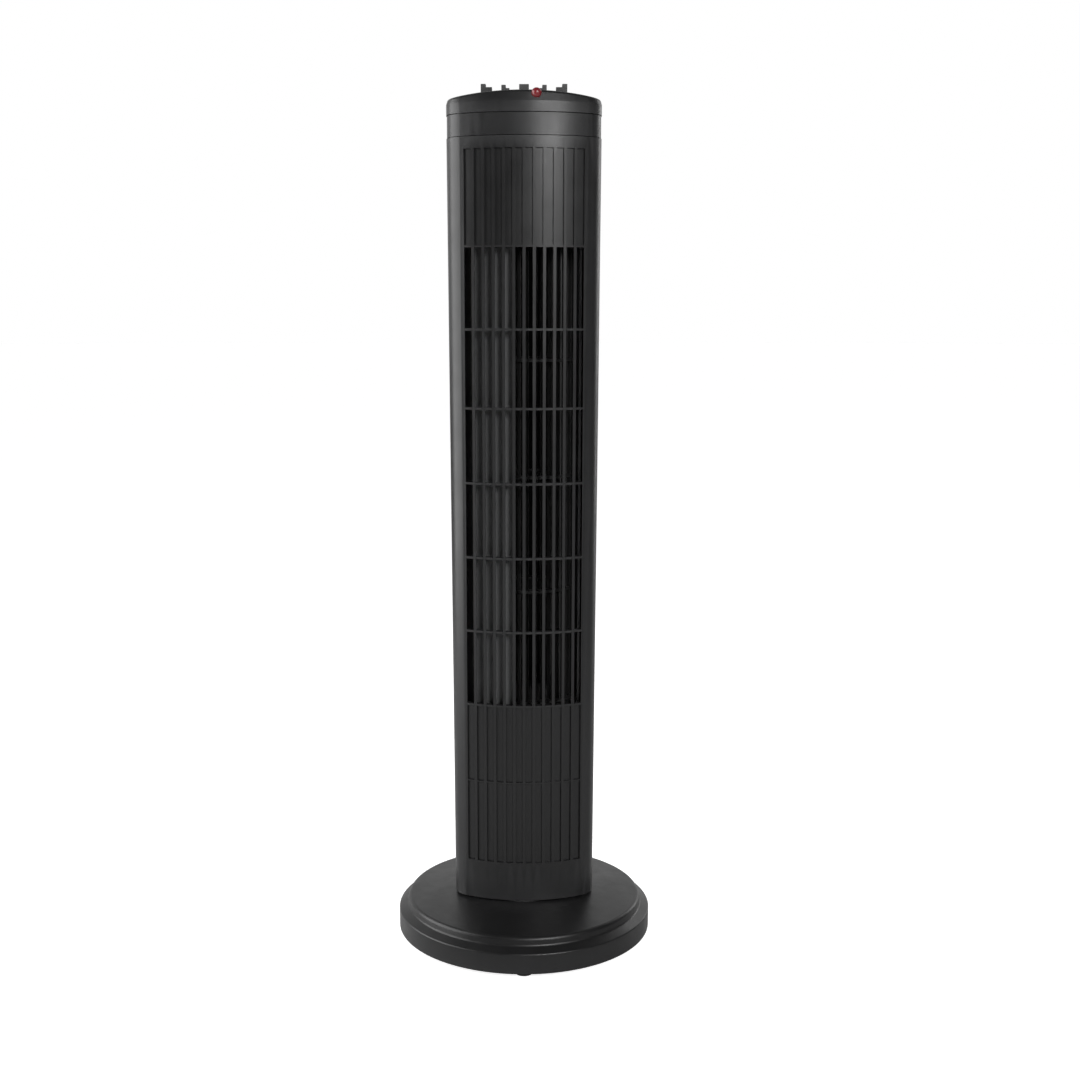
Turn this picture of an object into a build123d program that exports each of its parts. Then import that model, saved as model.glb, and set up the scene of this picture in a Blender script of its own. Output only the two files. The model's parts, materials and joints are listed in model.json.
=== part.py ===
"""Tower fan: a slim tapered column with a slatted front, swinging on a round weighted base.

Millimetres, +Z up, the front faces -Y. The origin is on the floor, on the axis about which
the column swings. Every piece is its own solid, written to parts/NAME.step.
"""

from build123d import *
import math
import os

os.makedirs("parts", exist_ok=True)

# ---------------------------------------------------------------- driving sizes
# Base
base_radius = 117.5
base_rim_height = 18.0
base_step_radius = 109.5
base_step_rise = 4.6
plateau_radius = 108.0
plateau_rise = 7.05
crown_radius = 62.0
crown_rise = 4.35
base_wall = 2.6
base_rim_round = 1.2
base_step_round = 2.0
plateau_round = 3.5
foot_radius = 8.5
foot_height = 4.0
foot_count = 5
foot_inset = 12.5
foot_chamfer = 0.8
base_plate_thickness = 2.4
base_plate_lift = 1.6
base_plate_clearance = 0.4
base_screw_inset = 9.0
ballast_thickness = 8.0
ballast_width = 48.0
ballast_gap = 4.0

# Column shells
column_width = 133.0
front_reach = 44.0
front_arc_radius = 120.0
corner_radius = 22.0
back_centre_y = -2.0
column_height = 677.7
column_draft = 2.75
shell_wall = 2.5
column_gap = 2.0
shell_split_y = 4.0

# Slatted front panel
slat_count = 11
slat_pitch = 8.75
slat_width = 2.6
slat_depth = 8.0
groove_depth = 1.6
rib_thickness = 1.9
rib_depth = 6.0
thin_rib_thickness = 1.2
cell_shares = (1.010, 0.991, 0.983, 0.974, 1.008, 1.042)
panel_bottom_margin = 36.0
panel_top_margin = 9.9
lower_blank_height = 147.6
lower_blank_row = 76.0
upper_blank_height = 80.4

# Rear intake grille
intake_centre_degrees = 90.0
intake_spine_degrees = 43.0
intake_bank_count = 5
intake_step_degrees = 7.4
intake_cut_depth = 12.0
intake_bar_width = 2.6
intake_rib_thickness = 3.0

# Collar and lid
collar_height = 18.0
collar_inset = 0.5
spigot_wall = 1.6
spigot_length = 4.0
spigot_root = 1.0
spigot_clearance = 0.15
seam_gap = 0.6
lid_wall_height = 9.2
lid_bevel_height = 5.5
lid_bevel_inset = 1.6
lid_crown_height = 21.0
lid_dome_rise = 7.4
lid_round = 3.0

# Swivel and oscillation drive
hub_radius = 30.0
hub_wall = 4.0
hub_drop = 20.0
running_clearance = 0.06
part_clearance = 0.3
bearing_wall = 4.0
bearing_flange_width = 5.0
retainer_thickness = 3.0
retainer_overhang = 6.0
retainer_screw_count = 3
retainer_screw_head = 2.2
retainer_screw_shank = 1.0
retainer_screw_length = 8.0
floor_thickness = 3.0
yoke_post_radius = 9.0
yoke_foot_radius = 19.0
yoke_foot_thickness = 3.0
yoke_arm_thickness = 4.0
yoke_arm_lift = 7.0
yoke_edge = 4.0
crank_offset = 20.0
crank_throw = 13.6
crank_pin_radius = 2.2
crank_play = 1.2
crank_disc_thickness = 3.0
crank_edge = 3.2
crank_shaft_radius = 3.0
crank_lift = 2.0
crank_top_gap = 1.0
swing_motor_radius = 25.0
swing_motor_height = 18.0
swing_plate_thickness = 2.0
swing_plate_share = 0.6
swing_plate_hole_radius = 6.0
motor_can_round = 1.5
swing_post_radius = 3.5
swing_post_spread = 31.0

# Impeller, ducting and main motor
impeller_x = 6.0
impeller_y = 14.0
impeller_radius = 40.0
impeller_end_gap = 7.0
blade_count = 30
blade_chord = 10.0
blade_thickness = 1.1
blade_sweep_radius = 11.0
impeller_sections = 4
disc_thickness = 2.4
stub_shaft_radius = 3.0
stub_shaft_above_deck = 6.0
bush_wall = 4.0
bush_below_deck = 2.0
bush_above_deck = 3.0
bush_mount_wall = 5.0
deck_thickness = 3.0
deck_gap_below = 9.0
deck_gap_above = 14.0
lower_deck_hole_radius = 12.0
guide_thickness = 2.0
guide_gap = 1.2
guide_left = 43.0
guide_right = 8.0
guide_leg = 30.0
guide_leg_lean = 16.0
guide_leg_bulge = 5.0
guide_leg_bend_share = 0.4
scroll_gap = 4.0
scroll_growth = 6.0
scroll_thickness = 2.0
scroll_near_degrees = 60.0
scroll_mouth_degrees = -25.0
scroll_end_degrees = 30.0
motor_shaft_radius = 4.0
motor_shaft_overhang = 4.0
coupling_radius = 10.0
coupling_flange_radius = 16.0
coupling_flange_height = 3.0
coupling_below_deck = 6.0
rotor_radius = 23.0
rotor_ring_height = 4.0
rotor_ring_width = 5.5
rotor_ring_inset = 1.5
air_gap = 0.4
stator_side = 68.0
stator_height = 22.0
stator_chamfer = 10.0
winding_wall = 7.0
winding_height = 12.0
winding_end_gap = 2.0
winding_bore_gap = 1.5
shield_thickness = 3.0
shield_side = 64.0
shield_round = 8.0
shield_screw_inset = 6.0
bearing_boss_radius = 9.0
bearing_boss_height = 8.0
motor_drop = 16.0
motor_standoff_radius = 4.0
motor_screw_end_gap = 2.0
capacitor_radius = 10.0
capacitor_height = 36.0
capacitor_x = -28.0
capacitor_y = 8.0

# Screws
screw_head_radius = 3.4
screw_head_height = 2.2
screw_shank_radius = 1.5
screw_length = 12.0
screw_slot_width = 0.8
screw_slot_depth = 0.8
boss_radius = 4.2
shell_screw_spread = 50.0
screw_well_depth = 20.0

# Keys, switch block and pilot light
key_spacing = 17.2
key_row_radius = 100.0
key_row_front_y = -24.0
key_depth = 11.0
key_travel = 4.0
key_top_height = 4.2
outer_key_top_height = 6.8
outer_key_ridge = 4.3
outer_key_pad = 5.2
inner_key_ridge = 3.8
inner_key_pad = 3.0
middle_key_width = 8.2
pad_drop = 2.7
key_clearance = 0.35
key_flange = 1.4
key_flange_height = 2.0
key_flange_drop = 2.0
key_round = 0.5
switch_block_height = 16.0
switch_block_drop = 16.0
switch_block_tail = 6.5
switch_well_spare = 1.0
lid_post_setback = 12.0
switch_wall = 3.0
pilot_radius = 4.3
pilot_x = 10.4
pilot_stem_radius = 2.6
pilot_stem_length = 7.6
pilot_stem_clearance = 0.1
pilot_lean_degrees = 50.0
pilot_rise = 0.8
pilot_setback = 0.6
lamp_wall = 1.4
lamp_length = 6.0
lamp_offset = 1.0

# Cord bush
cord_bush_radius = 6.5
cord_bush_bore = 3.4
cord_bush_flange = 9.0
cord_bush_height = 24.0
cord_bush_flange_height = 3.0
cord_bush_flange_round = 1.2
cord_bush_flange_gap = 0.3
cord_bush_tail = 5.0

# How far a cutter reaches past the face that it cuts
cut_margin = 1.0

# ---------------------------------------------------------------- levels and shared places
half_width = column_width / 2
rim_bottom = foot_height
rim_top = rim_bottom + base_rim_height
step_top = rim_top + base_step_rise
plateau_edge_top = step_top + plateau_rise
base_top = plateau_edge_top + crown_rise
column_bottom = base_top + column_gap
column_top = column_bottom + column_height
collar_bottom = column_top + seam_gap
collar_top = collar_bottom + collar_height
lid_wall_top = collar_top + lid_wall_height
lid_bevel_top = lid_wall_top + lid_bevel_height
lid_crown = collar_top + lid_crown_height
lid_crown_radius = (half_width**2 + lid_dome_rise**2) / (2 * lid_dome_rise)

panel_bottom = column_bottom + panel_bottom_margin
open_bottom = panel_bottom + lower_blank_height
panel_top = column_top - panel_top_margin
open_top = panel_top - upper_blank_height
cell_pitch = (open_top - open_bottom) / sum(cell_shares)
rib_levels = [
    open_bottom + cell_pitch * sum(cell_shares[:i]) for i in range(len(cell_shares) + 1)
]
panel_half_width = ((slat_count + 1) * slat_pitch - slat_width) / 2

base_plate_bottom = rim_bottom + base_plate_lift
base_plate_top = base_plate_bottom + base_plate_thickness
base_screw_ring = base_step_radius - base_screw_inset
ballast_outer = base_screw_ring - boss_radius - ballast_gap
ballast_inner = ballast_outer - ballast_width

floor_top = column_bottom + floor_thickness
hub_bottom = column_bottom - hub_drop
yoke_arm_bottom = floor_top + yoke_arm_lift
yoke_arm_top = yoke_arm_bottom + yoke_arm_thickness
slot_half_width = crank_pin_radius + crank_play
slot_inner = crank_offset - crank_throw - slot_half_width
slot_outer = crank_offset + crank_throw + slot_half_width
crank_bottom = yoke_arm_top + crank_lift
crank_top = crank_bottom + crank_disc_thickness
swing_plate_bottom = crank_top + crank_top_gap
swing_plate_top = swing_plate_bottom + swing_plate_thickness
swing_motor_top = swing_plate_top + swing_motor_height

lower_deck_top = open_bottom - deck_gap_below
lower_deck_bottom = lower_deck_top - deck_thickness
upper_deck_bottom = open_top + deck_gap_above
upper_deck_top = upper_deck_bottom + deck_thickness
switch_block_top = lid_crown - switch_block_drop
impeller_bottom = lower_deck_top + impeller_end_gap
impeller_top = upper_deck_bottom - impeller_end_gap
bush_mount_radius = stub_shaft_radius + bush_wall + bush_mount_wall
motor_top = lower_deck_bottom - motor_drop
stator_top = motor_top - shield_thickness - winding_height
stator_bottom = stator_top - stator_height
motor_bottom = stator_bottom - winding_height - shield_thickness

front_arc_centre_y = front_arc_radius - front_reach
corner_x = half_width - corner_radius
corner_y = front_arc_centre_y - math.sqrt(
    (front_arc_radius - corner_radius) ** 2 - corner_x**2
)


# ---------------------------------------------------------------- helpers
def write(node, shape):
    """Writes one piece, or one group of separate identical pieces, under its name."""
    export_step(shape, f"parts/{node}.step")


def block(x0, x1, y0, y1, z0, z1):
    """A box between two corners."""
    box = Box(x1 - x0, y1 - y0, z1 - z0)
    return Pos((x0 + x1) / 2, (y0 + y1) / 2, (z0 + z1) / 2) * box


def rod(x, y, z0, z1, radius):
    """An upright cylinder between two heights."""
    return Pos(x, y, (z0 + z1) / 2) * Cylinder(radius, z1 - z0)


def tube(x, y, z0, z1, outer, inner):
    """An upright pipe between two heights."""
    return rod(x, y, z0, z1, outer) - rod(x, y, z0, z1, inner)


def one(shape):
    """The single solid of a result."""
    return shape.solids()[0]


def group(solids):
    """Separate solids that share one name."""
    return Compound(children=[one(solid) for solid in solids])


def ring_points(count, radius, start_degrees=-90.0):
    """Points evenly round the swing axis, the first one at the front."""
    angles = [math.radians(start_degrees + 360.0 * i / count) for i in range(count)]
    return [(radius * math.cos(a), radius * math.sin(a)) for a in angles]


def column_outline(inset, height):
    """The column's plan: a shallow front arc, two corners, short flats and a round back."""
    front_r = front_arc_radius - inset
    corner_r = corner_radius - inset
    side_x = half_width - inset
    to_corner = math.atan2(corner_y - front_arc_centre_y, corner_x)
    front_end = (
        front_r * math.cos(to_corner),
        front_arc_centre_y + front_r * math.sin(to_corner),
    )
    corner_mid = (
        corner_x + corner_r * math.cos(to_corner / 2),
        corner_y + corner_r * math.sin(to_corner / 2),
    )
    side = (side_x, corner_y)
    back = (side_x, back_centre_y)

    def left(point):
        return (-point[0], point[1])

    edges = [
        ThreePointArc(left(front_end), (0, inset - front_reach), front_end),
        ThreePointArc(front_end, corner_mid, side),
        Line(side, back),
        ThreePointArc(back, (0, back_centre_y + side_x), left(back)),
        Line(left(back), left(side)),
        ThreePointArc(left(side), left(corner_mid), left(front_end)),
    ]
    return Wire(edges).moved(Location((0, 0, height)))


def draft_at(height):
    """How far the column's face has drawn in at a height; nothing at the column's top."""
    return column_draft * (column_top - height) / column_height


def column_solid(inset, z0, z1):
    """The tapered column between two heights, inset from its outer face."""
    low = column_outline(inset + draft_at(z0), z0)
    high = column_outline(inset + draft_at(z1), z1)
    return Solid.make_loft([low, high], True)


def straight_solid(inset, z0, z1):
    """The column's top plan drawn straight up, inset from its outer face."""
    low = column_outline(inset, z0)
    high = column_outline(inset, z1)
    return Solid.make_loft([low, high], True)


def column_layer(outer_inset, inner_inset, z0, z1):
    """A skin of the tapered column between two insets."""
    return column_solid(outer_inset, z0, z1) - column_solid(
        inner_inset, z0 - cut_margin, z1 + cut_margin
    )


def screw(x, y, head_z, length, head_radius=screw_head_radius, shank_radius=screw_shank_radius):
    """A pan-head screw that points up; its head's underside is at head_z."""
    head_low = head_z - screw_head_height
    head = rod(x, y, head_low, head_z, head_radius)
    head = fillet(head.edges().group_by(Axis.Z)[0], screw_head_height / 3)
    slot = block(
        x - head_radius,
        x + head_radius,
        y - screw_slot_width / 2,
        y + screw_slot_width / 2,
        head_low - cut_margin,
        head_low + screw_slot_depth,
    )
    return head - slot + rod(x, y, head_z, head_z + length, shank_radius)


# ---------------------------------------------------------------- base
socket_outer = hub_radius + running_clearance + bearing_wall
socket_bottom = hub_bottom + part_clearance
base_screw_points = ring_points(foot_count, base_screw_ring, 90.0)


def base_profile(inset):
    """Half section of the base cover's outer face, drawn in by an inset."""
    return [
        (0, rim_bottom),
        (base_radius - inset, rim_bottom),
        (base_radius - inset, rim_top - inset),
        (base_step_radius - inset, step_top - inset),
        (plateau_radius - inset, plateau_edge_top - inset),
        (crown_radius - inset, base_top - inset),
        (0, base_top - inset),
    ]


def revolved(points):
    """A solid of revolution about the swing axis from a half section in radius and height."""
    outline = make_face(Polyline(*[(r, 0, z) for r, z in points], close=True))
    return revolve(outline, Axis.Z, 360)


def round_rings(solid, rings):
    """Rounds the circular edges at given heights and radii."""
    for height, radius, amount in rings:
        edges = [
            e
            for e in solid.edges().filter_by(GeomType.CIRCLE)
            if abs(e.radius - radius) < 0.01 and abs(e.arc_center.Z - height) < 0.01
        ]
        solid = fillet(edges, amount)
    return solid


def make_base_cover():
    """The stepped round cover, with a central socket and screw bosses under its top."""
    outer = round_rings(
        revolved(base_profile(0)),
        [
            (rim_top, base_radius, base_rim_round),
            (step_top, base_step_radius, base_step_round),
            (plateau_edge_top, plateau_radius, plateau_round),
        ],
    )
    inner = revolved(base_profile(base_wall))
    bosses = [
        rod(x, y, base_plate_top, base_top, boss_radius) & outer
        for x, y in base_screw_points
    ]
    socket = rod(0, 0, socket_bottom, base_top - base_wall, socket_outer + base_wall)
    cover = outer - inner + socket
    for boss in bosses:
        cover = cover + boss
    cover = cover - rod(0, 0, rim_bottom, base_top + cut_margin, socket_outer)
    for x, y in base_screw_points:
        hole_top = base_plate_top + screw_length
        cover = cover - rod(x, y, rim_bottom, hole_top, screw_shank_radius)
    return cover


def make_base_plate():
    """The flat plate that closes the base from below."""
    radius = base_radius - base_wall - base_plate_clearance
    plate = rod(0, 0, base_plate_bottom, base_plate_top, radius)
    for x, y in base_screw_points:
        plate = plate - rod(x, y, base_plate_bottom, base_plate_top, screw_shank_radius)
    return plate


def make_base_screws():
    return group([screw(x, y, base_plate_bottom, screw_length) for x, y in base_screw_points])


def make_feet():
    """Round rubber pads under the base plate; one is right at the front."""
    pads = []
    for x, y in ring_points(foot_count, base_radius - foot_inset):
        pad = rod(x, y, 0, base_plate_bottom, foot_radius)
        pads.append(chamfer(pad.edges().group_by(Axis.Z)[0], foot_chamfer))
    return group(pads)


def make_ballast():
    """The steel ring that keeps the tall column from tipping."""
    return tube(
        0, 0, base_plate_top, base_plate_top + ballast_thickness, ballast_outer, ballast_inner
    )


def make_swivel_bearing():
    """The flanged plastic ring that the column's hub turns in."""
    inner = hub_radius + running_clearance
    flange_top = column_bottom - part_clearance
    sleeve = rod(0, 0, socket_bottom, flange_top, socket_outer)
    flange = rod(0, 0, base_top, flange_top, socket_outer + bearing_flange_width)
    return sleeve + flange - rod(0, 0, socket_bottom, flange_top, inner)


def make_drive_yoke():
    """The fixed post and slotted arm that the swing crank pushes against."""
    foot = rod(0, 0, base_plate_top, base_plate_top + yoke_foot_thickness, yoke_foot_radius)
    post = rod(0, 0, base_plate_top, yoke_arm_bottom, yoke_post_radius)
    arm_half_width = slot_half_width + yoke_edge
    arm_end = slot_outer + yoke_edge
    arm = block(
        -arm_half_width, arm_half_width, 0, arm_end, yoke_arm_bottom, yoke_arm_top
    )
    arm = fillet(arm.edges().filter_by(Axis.Z).group_by(Axis.Y)[-1], yoke_edge)
    arm = arm + rod(0, 0, yoke_arm_bottom, yoke_arm_top, arm_half_width + yoke_edge)
    slot = block(
        -slot_half_width,
        slot_half_width,
        slot_inner + slot_half_width,
        slot_outer - slot_half_width,
        yoke_arm_bottom,
        yoke_arm_top,
    )
    for y in (slot_inner + slot_half_width, slot_outer - slot_half_width):
        slot = slot + rod(0, y, yoke_arm_bottom, yoke_arm_top, slot_half_width)
    return foot + post + arm - slot


# ---------------------------------------------------------------- column foot and swing drive
swing_ears = [(-swing_post_spread, crank_offset), (swing_post_spread, crank_offset)]
retainer_screw_points = ring_points(retainer_screw_count, hub_radius - hub_wall / 2)


def make_column_floor():
    """The plate that closes the column's foot, with the hub that turns in the base."""
    inside = column_solid(shell_wall, column_bottom, floor_top)
    hub = rod(0, 0, hub_bottom, column_bottom, hub_radius)
    bore = rod(0, 0, hub_bottom, floor_top, hub_radius - hub_wall)
    posts = [
        rod(x, y, floor_top, swing_plate_bottom, swing_post_radius) for x, y in swing_ears
    ]
    foot = inside + hub - bore + posts[0] + posts[1]
    for x, y in retainer_screw_points:
        hole_top = hub_bottom - retainer_thickness + retainer_screw_length
        foot = foot - rod(x, y, hub_bottom, hole_top, retainer_screw_shank)
    return foot


def make_hub_retainer():
    """The ring under the hub that stops the column from lifting off."""
    low = hub_bottom - retainer_thickness
    ring = tube(0, 0, low, hub_bottom, hub_radius + retainer_overhang, hub_radius - hub_wall)
    for x, y in retainer_screw_points:
        ring = ring - rod(x, y, low, hub_bottom, retainer_screw_shank)
    return ring


def make_retainer_screws():
    """The small screws that hold the ring to the hub's wall."""
    head_z = hub_bottom - retainer_thickness
    return group(
        [
            screw(x, y, head_z, retainer_screw_length, retainer_screw_head, retainer_screw_shank)
            for x, y in retainer_screw_points
        ]
    )


def make_swing_plate():
    """The bridge over the crank that carries the swing motor."""
    half_length = swing_post_spread + swing_post_radius
    half_width_y = swing_motor_radius * swing_plate_share
    plate = block(
        -half_length,
        half_length,
        crank_offset - half_width_y,
        crank_offset + half_width_y,
        swing_plate_bottom,
        swing_plate_top,
    )
    hole = rod(
        0, crank_offset, swing_plate_bottom, swing_plate_top, swing_plate_hole_radius
    )
    return plate - hole


def make_swing_motor():
    """The slow synchronous motor that turns the crank."""
    body = rod(0, crank_offset, swing_plate_top, swing_motor_top, swing_motor_radius)
    body = fillet(body.edges().group_by(Axis.Z)[-1], motor_can_round)
    bore = rod(
        0,
        crank_offset,
        swing_plate_top,
        swing_plate_top + swing_motor_height / 2,
        crank_shaft_radius + running_clearance,
    )
    return body - bore


def make_swing_crank():
    """The disc on the swing motor's shaft; its pin runs in the yoke's slot."""
    radius = crank_throw + crank_pin_radius + crank_edge
    disc = rod(0, crank_offset, crank_bottom, crank_top, radius)
    shaft_top = swing_plate_top + swing_motor_height / 2 - part_clearance
    shaft = rod(0, crank_offset, crank_top, shaft_top, crank_shaft_radius)
    pin_y = crank_offset + crank_throw
    pin = rod(0, pin_y, yoke_arm_bottom + part_clearance, crank_bottom, crank_pin_radius)
    return disc + shaft + pin


# ---------------------------------------------------------------- column shells
cord_bush_z = column_bottom + cord_bush_height
shell_screw_levels = [
    panel_bottom,
    lower_deck_bottom - 2 * boss_radius,
    upper_deck_top + 2 * boss_radius,
]


def back_face_y(x, inset, height):
    """Where the round back's inset face is at a sideways place and a height."""
    radius = half_width - inset - draft_at(height)
    return back_centre_y + math.sqrt(radius**2 - x**2)


shell_screw_points = [
    (side * shell_screw_spread, level) for level in shell_screw_levels for side in (-1, 1)
]


def half_shell(keep_front):
    """One half of the column's tapered skin, split just behind its widest plane."""
    skin = column_layer(0, shell_wall, column_bottom, column_top)
    reach = column_width
    if keep_front:
        keep = block(-reach, reach, -reach, shell_split_y, column_bottom, column_top)
    else:
        keep = block(-reach, reach, shell_split_y, reach, column_bottom, column_top)
    return skin & keep


def slat_places():
    middle = (slat_count - 1) / 2
    return [(i - middle) * slat_pitch for i in range(slat_count)]


def gap_places():
    middle = slat_count / 2
    return [(i - middle) * slat_pitch for i in range(slat_count + 1)]


def make_front_housing():
    """The front shell: blank grooved panels above and below the open slatted window."""
    gap = slat_pitch - slat_width
    lower_row = panel_bottom + lower_blank_row
    groove_rows = [
        (panel_bottom, lower_row - thin_rib_thickness / 2),
        (lower_row + thin_rib_thickness / 2, open_bottom - rib_thickness / 2),
        (open_top + rib_thickness / 2, panel_top),
    ]
    front_y = -front_reach - cut_margin
    groove_layer = column_layer(-cut_margin, groove_depth, panel_bottom, panel_top)
    grooves = [
        block(x - gap / 2, x + gap / 2, front_y, 0, low, high)
        for low, high in groove_rows
        for x in gap_places()
    ]
    window = block(
        -panel_half_width, panel_half_width, front_y, -shell_wall, open_bottom, open_top
    )
    slats = [
        block(x - slat_width / 2, x + slat_width / 2, front_y, 0, open_bottom, open_top)
        for x in slat_places()
    ]
    ribs = [
        block(
            -panel_half_width,
            panel_half_width,
            front_y,
            0,
            level - rib_thickness / 2,
            level + rib_thickness / 2,
        )
        for level in rib_levels
    ]
    slat_layer = column_layer(0, slat_depth, open_bottom - cut_margin, open_top + cut_margin)
    rib_layer = column_layer(0, rib_depth, open_bottom - rib_thickness, open_top + rib_thickness)
    shell = half_shell(True) - window
    shell = shell - (groove_layer & Part() + grooves)
    shell = shell + (slat_layer & Part() + slats)
    shell = shell + (rib_layer & Part() + ribs)
    return shell


def make_rear_housing():
    """The round-backed rear shell, with upright intake slots and screw bosses."""
    shell = half_shell(False)
    cutters = []
    slot_width = (
        2 * (half_width - column_draft) * math.sin(math.radians(intake_step_degrees / 2))
        - intake_bar_width
    )
    from_spine = [
        intake_spine_degrees / 2 + intake_step_degrees * (i + 0.5) for i in range(intake_bank_count)
    ]
    turns = [intake_centre_degrees + side * turn for side in (-1, 1) for turn in from_spine]
    for rib_low, rib_high in zip(rib_levels, rib_levels[1:]):
        cutter = block(
            half_width - intake_cut_depth,
            half_width + cut_margin,
            -slot_width / 2,
            slot_width / 2,
            rib_low + intake_rib_thickness / 2,
            rib_high - intake_rib_thickness / 2,
        )
        cutters.extend(Pos(0, back_centre_y, 0) * Rot(0, 0, turn) * cutter for turn in turns)
    shell = shell - (Part() + cutters)
    for x, level in shell_screw_points:
        inside = back_face_y(x, shell_wall / 2, level)
        boss = Pos(x, (shell_split_y + inside) / 2, level) * Rot(90, 0, 0) * Cylinder(
            boss_radius, inside - shell_split_y
        )
        shell = shell + boss
    for x, level in shell_screw_points:
        seat = back_face_y(x, 0, level) - 2 * screw_head_height
        well = Pos(x, seat + screw_well_depth / 2, level) * Rot(90, 0, 0) * Cylinder(
            screw_head_radius + part_clearance, screw_well_depth
        )
        hole = Pos(x, (shell_split_y + seat) / 2, level) * Rot(90, 0, 0) * Cylinder(
            screw_shank_radius, seat - shell_split_y + 2 * cut_margin
        )
        shell = shell - well - hole
    bush_y = back_face_y(0, 0, cord_bush_z)
    bush_hole = Pos(0, bush_y, cord_bush_z) * Rot(90, 0, 0) * Cylinder(
        cord_bush_radius, 4 * shell_wall
    )
    return shell - bush_hole


def make_housing_screws():
    """The screws that pull the two shells together from behind."""
    screws = []
    for x, level in shell_screw_points:
        seat = back_face_y(x, 0, level) - 2 * screw_head_height
        upright = screw(0, 0, 0, seat - shell_split_y)
        screws.append(Pos(x, seat, level) * Rot(90, 0, 0) * upright)
    return group(screws)


def make_cord_bush():
    """The rubber bush low on the back that a mains lead comes out of."""
    outside = back_face_y(0, 0, cord_bush_z)
    inside = back_face_y(0, shell_wall, cord_bush_z)
    flange_low = outside + cord_bush_flange_gap
    neck_low = inside - cord_bush_tail
    neck = rod(0, 0, neck_low, flange_low, cord_bush_radius)
    flange = rod(0, 0, flange_low, flange_low + cord_bush_flange_height, cord_bush_flange)
    flange = fillet(flange.edges().group_by(Axis.Z)[-1], cord_bush_flange_round)
    bore = rod(
        0, 0, neck_low - cut_margin, flange_low + cord_bush_flange_height + cut_margin, cord_bush_bore
    )
    return Pos(0, 0, cord_bush_z) * Rot(-90, 0, 0) * (neck + flange - bore)


# ---------------------------------------------------------------- ducting and impeller
def make_deck(z0, z1, hole_radius):
    """A plate across the column's inside, with a hole on the impeller's axis."""
    plate = column_solid(shell_wall, z0, z1)
    for x, level in shell_screw_points:
        plate = plate - Pos(x, half_width / 2 + shell_split_y, level) * Rot(90, 0, 0) * Cylinder(
            boss_radius + part_clearance, half_width
        )
    return plate - rod(impeller_x, impeller_y, z0, z1, hole_radius)


def guide_front_y(x, extra):
    """Just behind the slats, on the tapered front face at the window's foot."""
    inset = draft_at(open_bottom) + slat_depth + extra
    return front_arc_centre_y - math.sqrt((front_arc_radius - inset) ** 2 - x**2)


def thick_strip(edges, thickness, z0, z1):
    """An upright sheet that follows a plan line."""
    plan = trace(edges, thickness)
    return extrude(Pos(0, 0, z0) * plan, z1 - z0)


def make_air_guide():
    """The curved wall behind the left slats that turns the air out at the right."""
    offset = guide_gap + guide_thickness
    left = (-guide_left, guide_front_y(guide_left, offset))
    right = (-guide_right, guide_front_y(guide_right, offset))
    middle_x = (guide_left + guide_right) / 2
    middle = (-middle_x, guide_front_y(middle_x, offset))
    leg_end = (left[0] - guide_leg_lean, left[1] + guide_leg)
    leg_mid = (left[0] - guide_leg_bulge, left[1] + guide_leg * guide_leg_bend_share)
    edges = [
        ThreePointArc(leg_end, leg_mid, left),
        ThreePointArc(left, middle, right),
    ]
    return thick_strip(edges, guide_thickness, lower_deck_top, upper_deck_bottom)


def make_scroll():
    """The curved wall round the impeller's right side that opens towards the front."""
    wall_radius = impeller_radius + scroll_gap + scroll_growth + scroll_thickness / 2
    near = math.radians(scroll_near_degrees)
    centre = (
        impeller_x - scroll_growth * math.cos(near),
        impeller_y - scroll_growth * math.sin(near),
    )
    arc = CenterArc(
        centre, wall_radius, scroll_mouth_degrees, scroll_end_degrees - scroll_mouth_degrees
    )
    start = arc @ 0
    mouth_x = panel_half_width - scroll_thickness
    mouth_y = guide_front_y(mouth_x, guide_gap + scroll_thickness)
    return thick_strip(
        [Line((mouth_x, mouth_y), (start.X, start.Y)), arc],
        scroll_thickness,
        lower_deck_top,
        upper_deck_bottom,
    )


def make_impeller():
    """The cross-flow impeller: curved blades round five discs."""
    inner = impeller_radius - blade_chord
    chord_mid = impeller_radius - blade_chord / 2
    sag = blade_sweep_radius - math.sqrt(blade_sweep_radius**2 - (blade_chord / 2) ** 2)
    line = ThreePointArc(
        (inner, 0), (chord_mid, sag), (impeller_radius - blade_thickness / 2, 0)
    )
    blade = extrude(
        Pos(0, 0, impeller_bottom) * trace(line, blade_thickness), impeller_top - impeller_bottom
    )
    span = (impeller_top - impeller_bottom - disc_thickness) / impeller_sections
    discs = []
    for i in range(impeller_sections + 1):
        low = impeller_bottom + i * span
        disc = rod(0, 0, low, low + disc_thickness, impeller_radius)
        if 0 < i < impeller_sections:
            disc = disc - rod(0, 0, low, low + disc_thickness, inner)
        discs.append(disc)
    blades = [Rot(0, 0, 360.0 * i / blade_count) * blade for i in range(blade_count)]
    wheel = Part() + discs + blades
    socket = rod(0, 0, impeller_top - disc_thickness, impeller_top, stub_shaft_radius)
    return Pos(impeller_x, impeller_y, 0) * (wheel - socket)


def make_stub_shaft():
    """The steel pin at the impeller's top that turns in the upper bearing."""
    return rod(
        impeller_x,
        impeller_y,
        impeller_top - disc_thickness,
        upper_deck_top + stub_shaft_above_deck,
        stub_shaft_radius,
    )


def make_upper_bearing():
    """The sintered bush that the stub shaft turns in."""
    return tube(
        impeller_x,
        impeller_y,
        upper_deck_bottom - bush_below_deck,
        upper_deck_top + bush_above_deck,
        stub_shaft_radius + bush_wall,
        stub_shaft_radius + running_clearance,
    )


def make_bearing_mount():
    """The rubber ring between the bush and the upper deck."""
    return tube(
        impeller_x,
        impeller_y,
        upper_deck_bottom,
        upper_deck_top,
        bush_mount_radius,
        stub_shaft_radius + bush_wall,
    )


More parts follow.
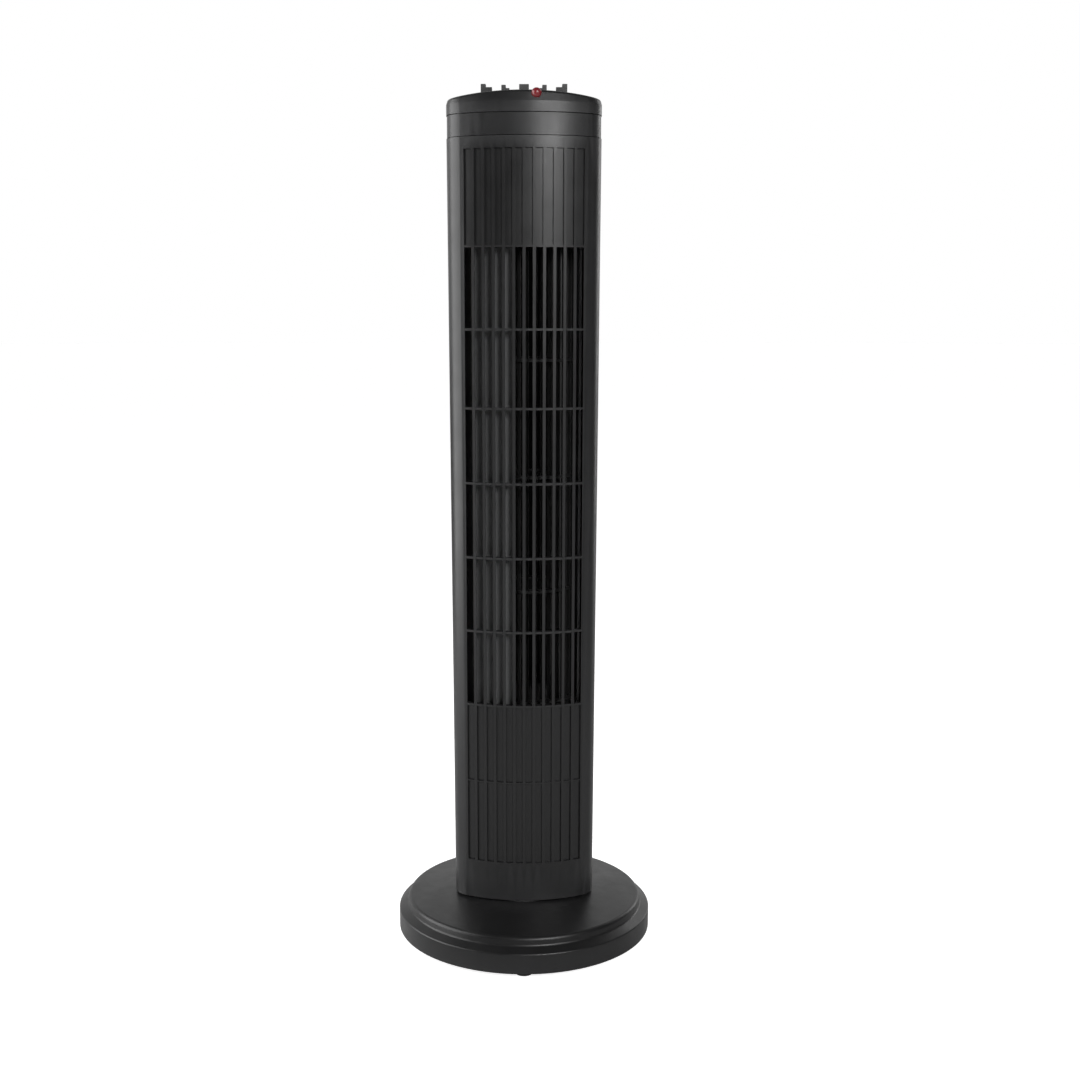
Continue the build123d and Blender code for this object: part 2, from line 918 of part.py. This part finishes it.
# ---------------------------------------------------------------- main motor
def motor_corners():
    place = shield_side / 2 - shield_screw_inset
    return [
        (impeller_x + sx * place, impeller_y + sy * place) for sx in (-1, 1) for sy in (-1, 1)
    ]


def make_motor_shaft():
    """The steel shaft through the rotor, up to the coupling."""
    return rod(
        impeller_x,
        impeller_y,
        motor_bottom - motor_shaft_overhang,
        impeller_bottom - coupling_flange_height,
        motor_shaft_radius,
    )


def make_motor_rotor():
    """The squirrel-cage rotor with its two end rings."""
    core = rod(impeller_x, impeller_y, stator_bottom, stator_top, rotor_radius)
    rings = tube(
        impeller_x,
        impeller_y,
        stator_bottom - rotor_ring_height,
        stator_top + rotor_ring_height,
        rotor_radius - rotor_ring_inset,
        rotor_radius - rotor_ring_inset - rotor_ring_width,
    )
    bore = rod(impeller_x, impeller_y, stator_bottom, stator_top, motor_shaft_radius)
    return core + rings - bore


def make_motor_stator():
    """The square lamination pack round the rotor."""
    half = stator_side / 2
    pack = block(
        impeller_x - half,
        impeller_x + half,
        impeller_y - half,
        impeller_y + half,
        stator_bottom,
        stator_top,
    )
    pack = chamfer(pack.edges().filter_by(Axis.Z), stator_chamfer)
    pack = pack - rod(impeller_x, impeller_y, stator_bottom, stator_top, rotor_radius + air_gap)
    for x, y in motor_corners():
        pack = pack - rod(x, y, stator_bottom, stator_top, screw_shank_radius + part_clearance)
    return pack


def make_motor_windings():
    """The copper coils that stand out above and below the lamination pack."""
    inner = rotor_radius + winding_bore_gap
    height = winding_height - winding_end_gap
    coils = []
    for low, high in (
        (stator_bottom - height, stator_bottom),
        (stator_top, stator_top + height),
    ):
        coil = tube(impeller_x, impeller_y, low, high, inner + winding_wall, inner)
        coils.append(coil)
    return group(coils)


def make_motor_shield(z0, z1, boss_low, boss_high):
    """An end plate of the motor with a bearing boss and four corner posts."""
    half = shield_side / 2
    plate = block(
        impeller_x - half,
        impeller_x + half,
        impeller_y - half,
        impeller_y + half,
        z0,
        z1,
    )
    plate = fillet(plate.edges().filter_by(Axis.Z), shield_round)
    plate = plate + rod(impeller_x, impeller_y, boss_low, boss_high, bearing_boss_radius)
    post_low, post_high = (stator_top, z0) if z0 > stator_top else (z1, stator_bottom)
    for x, y in motor_corners():
        plate = plate + rod(x, y, post_low, post_high, motor_standoff_radius)
        plate = plate - rod(
            x, y, min(z0, post_low), max(z1, post_high), screw_shank_radius + part_clearance
        )
    bore = rod(
        impeller_x, impeller_y, boss_low, boss_high, motor_shaft_radius + running_clearance
    )
    return plate - bore


def make_motor_standoffs():
    """Four spacers that hang the motor from the lower deck."""
    spacers = []
    for x, y in motor_corners():
        spacers.append(
            tube(x, y, motor_top, lower_deck_bottom, motor_standoff_radius, screw_shank_radius)
        )
    return group(spacers)


def make_motor_screws():
    """Four long screws through the motor into the spacers."""
    length = lower_deck_bottom - motor_bottom - motor_screw_end_gap
    return group([screw(x, y, motor_bottom, length) for x, y in motor_corners()])


def make_shaft_coupling():
    """The rubber-cushioned hub that joins the motor shaft to the impeller."""
    low = lower_deck_bottom - coupling_below_deck
    flange_low = impeller_bottom - coupling_flange_height
    hub = rod(impeller_x, impeller_y, low, impeller_bottom, coupling_radius)
    flange = rod(impeller_x, impeller_y, flange_low, impeller_bottom, coupling_flange_radius)
    bore = rod(impeller_x, impeller_y, low, flange_low, motor_shaft_radius)
    return hub + flange - bore


def make_capacitor():
    """The motor's run capacitor, standing on the upper deck."""
    can = rod(
        capacitor_x,
        capacitor_y,
        upper_deck_top,
        upper_deck_top + capacitor_height,
        capacitor_radius,
    )
    return fillet(can.edges().group_by(Axis.Z)[-1], motor_can_round)


# ---------------------------------------------------------------- collar and lid
def spigot(z0, z1):
    """A thin standing lip just inside the shell wall."""
    inset = shell_wall + column_draft * spigot_length / column_height + spigot_clearance
    hollow = straight_solid(inset + spigot_wall, z0 - cut_margin, z1 + cut_margin)
    return straight_solid(inset, z0, z1) - hollow


def make_collar():
    """The plain band between the column and its lid, with lips into both."""
    band = straight_solid(collar_inset, collar_bottom, collar_top)
    band = band - straight_solid(
        shell_wall + spigot_wall, collar_bottom - cut_margin, collar_top + cut_margin
    )
    lips = spigot(collar_bottom - spigot_length, collar_bottom + spigot_root)
    lips = lips + spigot(collar_top - spigot_root, collar_top + spigot_length)
    return band + lips


def lid_blank(inset, wall_bottom, crown):
    """A solid lid: upright wall, leaning bevel and a domed top."""
    wall = straight_solid(inset, wall_bottom, lid_wall_top)
    lean = lid_bevel_inset / lid_bevel_height
    bevel_end = crown + lid_bevel_height
    low = column_outline(inset, lid_wall_top)
    high = column_outline(inset + lean * (bevel_end - lid_wall_top), bevel_end)
    bevel = Solid.make_loft([low, high], True)
    dome = Pos(0, 0, crown - lid_crown_radius) * Sphere(lid_crown_radius)
    top = bevel & dome
    rim = top.faces().sort_by(Axis.Z)[-1].edges()
    top = fillet(rim, lid_round)
    return wall + top


def key_layout():
    """Each key's name, middle place, ridge and pad widths, pad side and height."""
    keys = []
    names = ["low_speed_key", "medium_speed_key", "off_key", "high_speed_key", "swing_key"]
    for i, name in enumerate(names):
        place = i - 2
        if abs(place) == 2:
            ridge, pad, height = outer_key_ridge, outer_key_pad, outer_key_top_height
        elif abs(place) == 1:
            ridge, pad, height = inner_key_ridge, inner_key_pad, key_top_height
        else:
            ridge, pad, height = middle_key_width, 0.0, key_top_height
        side = (place > 0) - (place < 0)
        x = place * key_spacing
        row_centre_y = key_row_front_y + key_row_radius
        y = row_centre_y - math.sqrt(key_row_radius**2 - x**2)
        keys.append((name, x, y, ridge, pad, side, height))
    return keys


def crown_at(x, y):
    """The lid's dome height at a place."""
    drop = lid_crown_radius - math.sqrt(lid_crown_radius**2 - x**2 - y**2)
    return lid_crown - drop


def key_span(x, ridge, pad, side):
    """The key's left and right faces; its ridge is centred on x and its pad lies inboard."""
    low, high = x - ridge / 2, x + ridge / 2
    if side > 0:
        low = low - pad
    if side < 0:
        high = high + pad
    return low, high


def key_top(x, y, height):
    """Every key's top, measured up from the lid's dome beside it."""
    return crown_at(x, y) + height


def make_key(x, y, ridge, pad, side, height):
    """A key cap with a raised ridge, a lower pad, and a flange that stops under the lid."""
    low, high = key_span(x, ridge, pad, side)
    front, back = y - key_depth / 2, y + key_depth / 2
    top = key_top(x, y, height)
    stem_bottom = switch_block_top - switch_wall
    stem = block(low, high, front, back, stem_bottom, top - pad_drop)
    ridge_block = block(x - ridge / 2, x + ridge / 2, front, back, top - pad_drop, top)
    key = stem + ridge_block
    upper = [e for e in key.edges() if e.center().Z > top - pad_drop + key_round / 2]
    key = fillet(upper, key_round)
    flange_top = crown_at(high + key_flange, back) - shell_wall - key_flange_drop
    flange = block(
        low - key_flange,
        high + key_flange,
        front - key_flange,
        back + key_flange,
        flange_top - key_flange_height,
        flange_top,
    )
    return key + flange


def key_hole(x, y, ridge, pad, side, extra, z0, z1):
    """The clearance hole round a key's stem."""
    low, high = key_span(x, ridge, pad, side)
    return block(
        low - extra,
        high + extra,
        y - key_depth / 2 - extra,
        y + key_depth / 2 + extra,
        z0,
        z1,
    )


def pilot_frame():
    """The pilot light's place on the front bevel; its axis points forward and up."""
    front_r = front_arc_radius - lid_bevel_inset
    x = pilot_x
    y = front_arc_centre_y - math.sqrt(front_r**2 - x**2)
    z = lid_bevel_top + pilot_rise
    return Pos(x, y + pilot_setback, z) * Rot(pilot_lean_degrees, 0, 0)


def make_lid():
    """The hollow domed lid with five key slots and the pilot light's hole."""
    outer = lid_blank(0, collar_top + seam_gap, lid_crown)
    inner = lid_blank(shell_wall, collar_top + seam_gap - cut_margin, lid_crown - shell_wall)
    lid = outer - inner
    for _, x, y, ridge, pad, side, _ in key_layout():
        lid = lid - key_hole(
            x, y, ridge, pad, side, key_clearance, lid_wall_top, lid_crown + cut_margin
        )
    stem_hole = pilot_frame() * Cylinder(pilot_stem_radius, 4 * pilot_stem_length)
    posts = []
    for side in (-1, 1):
        x = side * (2 * key_spacing + outer_key_ridge + boss_radius + key_flange)
        y = key_row_front_y + lid_post_setback
        posts.append(rod(x, y, switch_block_top, crown_at(x, y) - shell_wall / 2, boss_radius))
    return lid - stem_hole + posts[0] + posts[1]


def make_switch_block():
    """The latching switch under the lid; each key drops into its own well."""
    reach = 2 * key_spacing + outer_key_ridge + 2 * boss_radius + key_flange
    front = key_row_front_y - key_depth / 2 - switch_wall
    back = front + key_depth + 2 * switch_wall + switch_block_tail
    body = block(
        -reach, reach, front, back, switch_block_top - switch_block_height, switch_block_top
    )
    body = body & straight_solid(
        shell_wall + 2 * spigot_wall,
        switch_block_top - switch_block_height - cut_margin,
        switch_block_top + cut_margin,
    )
    well_bottom = switch_block_top - switch_wall - key_travel - switch_well_spare
    for _, x, y, ridge, pad, side, _ in key_layout():
        body = body - key_hole(
            x, y, ridge, pad, side, key_clearance, well_bottom, switch_block_top
        )
    return body


def make_pilot_lens():
    """The glossy red dome that sits on the front bevel."""
    ball = pilot_frame() * Sphere(pilot_radius)
    outer = lid_blank(0, collar_top + seam_gap, lid_crown)
    stem = pilot_frame() * Pos(0, 0, -pilot_stem_length / 2) * Cylinder(
        pilot_stem_radius - pilot_stem_clearance, pilot_stem_length
    )
    return (ball - outer) + stem


def make_pilot_lamp():
    """The small lamp holder pushed onto the lens's stem from inside."""
    cup = Pos(0, 0, lamp_length / 2) * Cylinder(pilot_stem_radius, lamp_length)
    holder = Cylinder(pilot_stem_radius + lamp_wall, lamp_length) - cup
    return pilot_frame() * Pos(0, 0, -pilot_stem_length - lamp_offset) * holder


# ---------------------------------------------------------------- writing the pieces
write("base_cover", make_base_cover())
write("base_plate", make_base_plate())
write("base_screws", make_base_screws())
write("rubber_feet", make_feet())
write("base_ballast", make_ballast())
write("swivel_bearing", make_swivel_bearing())
write("drive_yoke", make_drive_yoke())
write("column_floor", make_column_floor())
write("hub_retainer", make_hub_retainer())
write("retainer_screws", make_retainer_screws())
write("swing_motor_plate", make_swing_plate())
write("swing_motor", make_swing_motor())
write("swing_crank", make_swing_crank())
write("front_housing", make_front_housing())
write("rear_housing", make_rear_housing())
write("housing_screws", make_housing_screws())
write("cord_bush", make_cord_bush())
write("lower_deck", make_deck(lower_deck_bottom, lower_deck_top, lower_deck_hole_radius))
write("upper_deck", make_deck(upper_deck_bottom, upper_deck_top, bush_mount_radius))
write("air_guide", make_air_guide())
write("scroll_wall", make_scroll())
write("impeller", make_impeller())
write("impeller_stub_shaft", make_stub_shaft())
write("upper_bearing", make_upper_bearing())
write("bearing_mount", make_bearing_mount())
write("motor_shaft", make_motor_shaft())
write("motor_rotor", make_motor_rotor())
write("motor_stator", make_motor_stator())
write("motor_windings", make_motor_windings())
write(
    "motor_upper_shield",
    make_motor_shield(motor_top - shield_thickness, motor_top, motor_top - shield_thickness,
                      motor_top + bearing_boss_height - shield_thickness),
)
write(
    "motor_lower_shield",
    make_motor_shield(motor_bottom, motor_bottom + shield_thickness,
                      motor_bottom + shield_thickness - bearing_boss_height,
                      motor_bottom + shield_thickness),
)
write("motor_standoffs", make_motor_standoffs())
write("motor_screws", make_motor_screws())
write("shaft_coupling", make_shaft_coupling())
write("capacitor", make_capacitor())
write("collar", make_collar())
write("lid", make_lid())
write("switch_block", make_switch_block())
write("pilot_lens", make_pilot_lens())
write("pilot_lamp", make_pilot_lamp())
for key_name, *key_sizes in key_layout():
    write(key_name, make_key(*key_sizes))
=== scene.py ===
"""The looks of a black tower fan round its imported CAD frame. Metres, +Z up, front faces -Y."""

import json
import math

import bmesh
import bpy
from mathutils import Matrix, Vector

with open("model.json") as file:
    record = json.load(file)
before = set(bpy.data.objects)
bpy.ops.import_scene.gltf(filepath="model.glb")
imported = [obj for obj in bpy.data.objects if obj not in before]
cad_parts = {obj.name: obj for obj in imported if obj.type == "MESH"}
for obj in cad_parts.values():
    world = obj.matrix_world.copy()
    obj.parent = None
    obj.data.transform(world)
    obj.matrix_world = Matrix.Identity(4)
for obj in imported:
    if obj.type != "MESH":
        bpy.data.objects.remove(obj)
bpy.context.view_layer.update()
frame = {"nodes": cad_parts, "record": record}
nodes = frame["nodes"]

# ---------------------------------------------------------------- sizes of the surface detail
# Scales are cells per metre, depths are metres.
noise_middle = (0.3, 0.7)  # a noise texture spends nearly all its time between these

flow_scale = 14.0
flow_detail = 3.0
handling_scale = 55.0
handling_detail = 4.0
handling_spread = 0.05
wave_scale = 9.0
wave_depth = 0.0004
wave_strength = 0.35
grain_scale = 1500.0
grain_depth = 0.00004
# painted highlight on sharp convex edges: the pointiness span where it begins and is full, its
# largest share, and how much lighter than the light tone it is
edge_highlight_start = 0.52
edge_highlight_full = 0.62
edge_highlight_share = 0.6
edge_highlight_gain = 3.0
plastic_specular = 0.3

line_scale = 220.0
line_depth = 0.00002
line_stretch = (1, 1, 30)
even = (1, 1, 1)
metal_shade = 0.8
metal_smoother = 0.08
metal_rougher = 0.1

bloom_scale = 120.0
bloom_depth = 0.00006
rubber_rough = 0.8
rubber_specular = 0.25

swirl_scale = 160.0
swirl_depth = 0.00002
lens_coat = 0.15
lens_coat_rough = 0.25

turn_scale = 420.0
turn_distortion = 1.5
turn_depth = 0.0002
wire_metallic = 0.9
wire_rough = 0.35

rough_noise = 0.6
bloom_noise = 0.65


# ---------------------------------------------------------------- material nodes
class Graph:
    """A short way to add and join shader nodes."""

    def __init__(self, name):
        self.material = bpy.data.materials.new(name)
        self.material.use_nodes = True
        self.tree = self.material.node_tree
        self.tree.nodes.clear()
        self.out = self.add("ShaderNodeOutputMaterial")
        self.shader = self.add("ShaderNodeBsdfPrincipled")
        self.join(self.shader, "BSDF", self.out, "Surface")
        self.coords = self.add("ShaderNodeTexCoord")

    def add(self, kind, **settings):
        node = self.tree.nodes.new(kind)
        for key, value in settings.items():
            setattr(node, key, value)
        return node

    def join(self, a, a_out, b, b_in):
        self.tree.links.new(a.outputs[a_out], b.inputs[b_in])

    def set(self, name, value):
        self.shader.inputs[name].default_value = value

    def noise(self, scale, detail=2.0, roughness=0.5, source=None):
        node = self.add("ShaderNodeTexNoise")
        node.inputs["Scale"].default_value = scale
        node.inputs["Detail"].default_value = detail
        node.inputs["Roughness"].default_value = roughness
        if source is None:
            self.join(self.coords, "Object", node, "Vector")
        else:
            self.join(source, "Vector", node, "Vector")
        return node

    def stretched(self, x, y, z):
        node = self.add("ShaderNodeMapping")
        node.inputs["Scale"].default_value = (x, y, z)
        self.join(self.coords, "Object", node, "Vector")
        return node

    def spread(self, source, output, low, high, within=noise_middle):
        """The output's range 'within' is spread over low to high."""
        node = self.add("ShaderNodeMapRange")
        node.inputs["From Min"].default_value = within[0]
        node.inputs["From Max"].default_value = within[1]
        node.inputs["To Min"].default_value = low
        node.inputs["To Max"].default_value = high
        self.join(source, output, node, "Value")
        return node

    def blend(self, factor, output, low, high):
        node = self.add("ShaderNodeMix", data_type="RGBA")
        node.inputs["A"].default_value = (*low, 1)
        node.inputs["B"].default_value = (*high, 1)
        self.join(factor, output, node, "Factor")
        return node

    def bump(self, source, output, distance, strength=1.0, under=None):
        node = self.add("ShaderNodeBump")
        node.inputs["Distance"].default_value = distance
        node.inputs["Strength"].default_value = strength
        self.join(source, output, node, "Height")
        if under is not None:
            self.join(under, "Normal", node, "Normal")
        return node


def plastic(name, dark, light, rough):
    """Moulded plastic: a fine spark-eroded grain, soft mould flow and a painted highlight that
    lightens the sharp edges.
    """
    g = Graph(name)
    flow = g.noise(flow_scale, flow_detail)
    colour = g.blend(flow, "Fac", dark, light)
    edges = g.add("ShaderNodeNewGeometry")
    # painted highlight: sharp convex edges are lightened towards a tone three times the light one
    highlight_mask = g.spread(edges, "Pointiness", 0.0, edge_highlight_share, (edge_highlight_start, edge_highlight_full))
    highlighted = g.add("ShaderNodeMix", data_type="RGBA")
    highlighted.inputs["B"].default_value = (*(edge_highlight_gain * c for c in light), 1)
    g.join(highlight_mask, "Result", highlighted, "Factor")
    g.join(colour, "Result", highlighted, "A")
    g.join(highlighted, "Result", g.shader, "Base Color")
    handling = g.noise(handling_scale, handling_detail, rough_noise)
    roughness = g.spread(handling, "Fac", rough - handling_spread, rough + handling_spread)
    g.join(roughness, "Result", g.shader, "Roughness")
    wave = g.bump(g.noise(wave_scale, 1.0), "Fac", wave_depth, wave_strength)
    grain = g.bump(g.noise(grain_scale, 2.0, rough_noise), "Fac", grain_depth, 1.0, wave)
    g.join(grain, "Normal", g.shader, "Normal")
    g.set("Specular IOR Level", plastic_specular)
    return g.material


def metal(name, colour, rough, stretch=line_stretch, scale=line_scale):
    """Bare metal: fine drawn or ground lines where it is stretched, else an even grain."""
    g = Graph(name)
    lines = g.noise(scale, 4.0, rough_noise, g.stretched(*stretch))
    tone = g.blend(lines, "Fac", tuple(metal_shade * c for c in colour), colour)
    g.join(tone, "Result", g.shader, "Base Color")
    roughness = g.spread(lines, "Fac", rough - metal_smoother, rough + metal_rougher)
    g.join(roughness, "Result", g.shader, "Roughness")
    g.join(g.bump(lines, "Fac", line_depth), "Normal", g.shader, "Normal")
    g.set("Metallic", 1.0)
    return g.material


def rubber(name):
    """Matt black rubber with a faint bloom."""
    g = Graph(name)
    bloom = g.noise(bloom_scale, 5.0, bloom_noise)
    tone = g.blend(bloom, "Fac", dark_rubber, bloomed_rubber)
    g.join(tone, "Result", g.shader, "Base Color")
    g.join(g.bump(bloom, "Fac", bloom_depth), "Normal", g.shader, "Normal")
    g.set("Roughness", rubber_rough)
    g.set("Specular IOR Level", rubber_specular)
    return g.material


def tinted_lens(name):
    """Tinted, faintly swirled plastic over a lamp."""
    g = Graph(name)
    swirl = g.noise(swirl_scale)
    tone = g.blend(swirl, "Fac", deep_red, red)
    g.join(tone, "Result", g.shader, "Base Color")
    g.join(g.spread(swirl, "Fac", *lens_rough), "Result", g.shader, "Roughness")
    g.join(g.bump(swirl, "Fac", swirl_depth), "Normal", g.shader, "Normal")
    g.set("Coat Weight", lens_coat)
    g.set("Coat Roughness", lens_coat_rough)
    return g.material


def copper_wire(name):
    """Enamelled copper wire wound in tight turns."""
    g = Graph(name)
    turns = g.add("ShaderNodeTexWave", bands_direction="Z")
    turns.inputs["Scale"].default_value = turn_scale
    turns.inputs["Distortion"].default_value = turn_distortion
    g.join(g.coords, "Object", turns, "Vector")
    tone = g.blend(turns, "Fac", dark_copper, copper)
    g.join(tone, "Result", g.shader, "Base Color")
    g.join(g.bump(turns, "Fac", turn_depth), "Normal", g.shader, "Normal")
    g.set("Metallic", wire_metallic)
    g.set("Roughness", wire_rough)
    return g.material


# ---------------------------------------------------------------- colours and finishes
shell_shades = (0.0085, 0.0085, 0.0088), (0.0115, 0.0115, 0.0118)
base_shades = (0.0055, 0.0055, 0.0057), (0.008, 0.008, 0.0082)
inner_shades = (0.046, 0.046, 0.047), (0.056, 0.056, 0.057)
impeller_shades = (0.02, 0.02, 0.02), (0.026, 0.026, 0.026)
key_shades = (0.012, 0.012, 0.012), (0.02, 0.02, 0.02)
nylon_shades = (0.62, 0.61, 0.57), (0.72, 0.71, 0.67)
switch_shades = (0.16, 0.16, 0.17), (0.2, 0.2, 0.21)
capacitor_shades = (0.36, 0.36, 0.38), (0.42, 0.42, 0.44)
dark_rubber, bloomed_rubber = (0.012, 0.012, 0.012), (0.03, 0.03, 0.029)
deep_red, red = (0.10, 0.003, 0.006), (0.15, 0.005, 0.009)
lens_rough = 0.3, 0.4
dark_copper, copper = (0.30, 0.08, 0.03), (0.62, 0.24, 0.10)

finish = {
    "housing_black": plastic("housing_plastic", *shell_shades, rough=0.35),
    "base_black": plastic("base_plastic", *base_shades, rough=0.36),
    "inner_black": plastic("inner_plastic", *inner_shades, rough=0.45),
    "impeller_black": plastic("impeller_plastic", *impeller_shades, rough=0.42),
    "key_black": plastic("key_plastic", *key_shades, rough=0.38),
    "lens_red": tinted_lens("pilot_red"),
    "foot_rubber": rubber("foot_rubber"),
    "coupling_rubber": rubber("coupling_rubber"),
    "nylon_white": plastic("nylon", *nylon_shades, rough=0.4),
    "switch_grey": plastic("switch_plastic", *switch_shades, rough=0.4),
    "capacitor_grey": plastic("capacitor_plastic", *capacitor_shades, rough=0.3),
    "screw_black": metal("black_screw", (0.05, 0.05, 0.05), rough=0.45),
    "steel": metal("ground_steel", (0.55, 0.55, 0.55), rough=0.3),
    "ballast_iron": metal("cast_iron", (0.16, 0.16, 0.16), rough=0.6, stretch=even, scale=90.0),
    "motor_zinc": metal("zinc_plate", (0.5, 0.51, 0.52), rough=0.38, stretch=even, scale=60.0),
    "bearing_bronze": metal(
        "sintered_bronze", (0.55, 0.36, 0.16), rough=0.45, stretch=even, scale=500.0
    ),
    "rotor_aluminium": metal(
        "die_cast_aluminium", (0.62, 0.62, 0.64), rough=0.4, stretch=even, scale=300.0
    ),
    "lamination_iron": metal(
        "lamination_stack", (0.26, 0.26, 0.27), rough=0.4, stretch=(0.05, 0.05, 8), scale=200.0
    ),
    "winding_copper": copper_wire("winding_wire"),
}
node_slot = {row["node"]: row["material_slot"] for row in frame["record"]["subparts"]}
for name, node in nodes.items():
    node.data.materials.clear()
    node.data.materials.append(finish[node_slot[name]])


# ---------------------------------------------------------------- floor
floor_radius = 30.0
floor_sides = 96
floor_drop = 0.0003
floor_white = (0.6, 0.6, 0.6)
floor_mottle_scale = 3.0
floor_mottle = 0.985
floor_rough = 0.9
floor_specular = 0.1
floor_glow = 0.85


def studio_material(name):
    """Matt white that glows for the camera alone, so that the floor runs into the backdrop."""
    g = Graph(name)
    mottle = g.noise(floor_mottle_scale)
    tone = g.blend(mottle, "Fac", tuple(floor_mottle * c for c in floor_white), floor_white)
    g.join(tone, "Result", g.shader, "Base Color")
    g.set("Roughness", floor_rough)
    g.set("Specular IOR Level", floor_specular)
    glow = g.add("ShaderNodeEmission")
    path = g.add("ShaderNodeLightPath")
    level = g.spread(path, "Is Camera Ray", 0.0, floor_glow, (0.0, 1.0))
    g.join(level, "Result", glow, "Strength")
    both = g.add("ShaderNodeAddShader")
    g.join(g.shader, "BSDF", both, 0)
    g.join(glow, "Emission", both, 1)
    g.join(both, "Shader", g.out, "Surface")
    return g.material


def make_floor():
    mesh = bpy.data.meshes.new("studio_floor")
    ring = bmesh.new()
    bmesh.ops.create_circle(ring, cap_ends=True, segments=floor_sides, radius=floor_radius)
    ring.to_mesh(mesh)
    ring.free()
    floor = bpy.data.objects.new("studio_floor", mesh)
    floor.location = (0, 0, -floor_drop)
    bpy.context.scene.collection.objects.link(floor)
    mesh.materials.append(studio_material("studio_white"))


# ---------------------------------------------------------------- light
cove_start = 0.3  # how far back a direction points, -1 to 1, where the cove begins and is full
cove_full = 0.8
room_glow = 0.1
cove_glow = 1.1
backdrop_glow = 1.0


def softbox(name, place, target, width, height, power):
    light = bpy.data.lights.new(name, "AREA")
    light.shape = "RECTANGLE"
    light.size = width
    light.size_y = height
    light.energy = power
    lamp = bpy.data.objects.new(name, light)
    lamp.location = place
    direction = Vector(target) - Vector(place)
    lamp.rotation_euler = direction.to_track_quat("-Z", "Y").to_euler()
    bpy.context.scene.collection.objects.link(lamp)


def make_world():
    """A white cove behind the fan and a dim room in front; the backdrop itself shows white."""
    world = bpy.data.worlds.new("studio_air")
    bpy.context.scene.world = world
    world.use_nodes = True
    tree = world.node_tree
    tree.nodes.clear()
    output = tree.nodes.new("ShaderNodeOutputWorld")
    coords = tree.nodes.new("ShaderNodeTexCoord")
    split = tree.nodes.new("ShaderNodeSeparateXYZ")
    tree.links.new(coords.outputs["Generated"], split.inputs["Vector"])
    cove = tree.nodes.new("ShaderNodeMapRange")
    cove.interpolation_type = "SMOOTHSTEP"
    cove.inputs["From Min"].default_value = cove_start
    cove.inputs["From Max"].default_value = cove_full
    cove.inputs["To Min"].default_value = room_glow
    cove.inputs["To Max"].default_value = cove_glow
    tree.links.new(split.outputs["Y"], cove.inputs["Value"])
    lit = tree.nodes.new("ShaderNodeBackground")
    tree.links.new(cove.outputs["Result"], lit.inputs["Strength"])
    shown = tree.nodes.new("ShaderNodeBackground")
    shown.inputs["Color"].default_value = (1, 1, 1, 1)
    shown.inputs["Strength"].default_value = backdrop_glow
    path = tree.nodes.new("ShaderNodeLightPath")
    either = tree.nodes.new("ShaderNodeMixShader")
    tree.links.new(path.outputs["Is Camera Ray"], either.inputs["Fac"])
    tree.links.new(lit.outputs["Background"], either.inputs[1])
    tree.links.new(shown.outputs["Background"], either.inputs[2])
    tree.links.new(either.outputs["Shader"], output.inputs["Surface"])


# ---------------------------------------------------------------- camera
camera_distance = 1.291
camera_height = 0.5697
camera_pitch_down = math.radians(10.12)
camera_lens = 48.0
camera_sensor = 36.0
camera_shift = (0.0148, 0.0296)
camera_near = 0.05


def make_camera():
    """Straight in front, a little above the middle, tilted down."""
    data = bpy.data.cameras.new("photo_camera")
    data.lens = camera_lens
    data.sensor_width = camera_sensor
    data.shift_x, data.shift_y = camera_shift
    data.clip_start = camera_near
    camera = bpy.data.objects.new("photo_camera", data)
    camera.location = (0, -camera_distance, camera_height)
    camera.rotation_euler = (math.pi / 2 - camera_pitch_down, 0, 0)
    bpy.context.scene.collection.objects.link(camera)
    bpy.context.scene.camera = camera


make_floor()
make_world()
softbox(
    "front_right", place=(0.75, -1.75, 1.35), target=(0, 0, 0.62), width=0.75, height=0.9, power=42
)
softbox(
    "left_wall", place=(-1.6, -0.08, 0.8), target=(0, 0, 0.45), width=1.6, height=1.7, power=48
)
softbox(
    "right_strip", place=(1.3, 1.2, 0.75), target=(0, 0, 0.45), width=0.3, height=1.5, power=5
)
make_camera()
bpy.context.scene.view_settings.view_transform = "Standard"
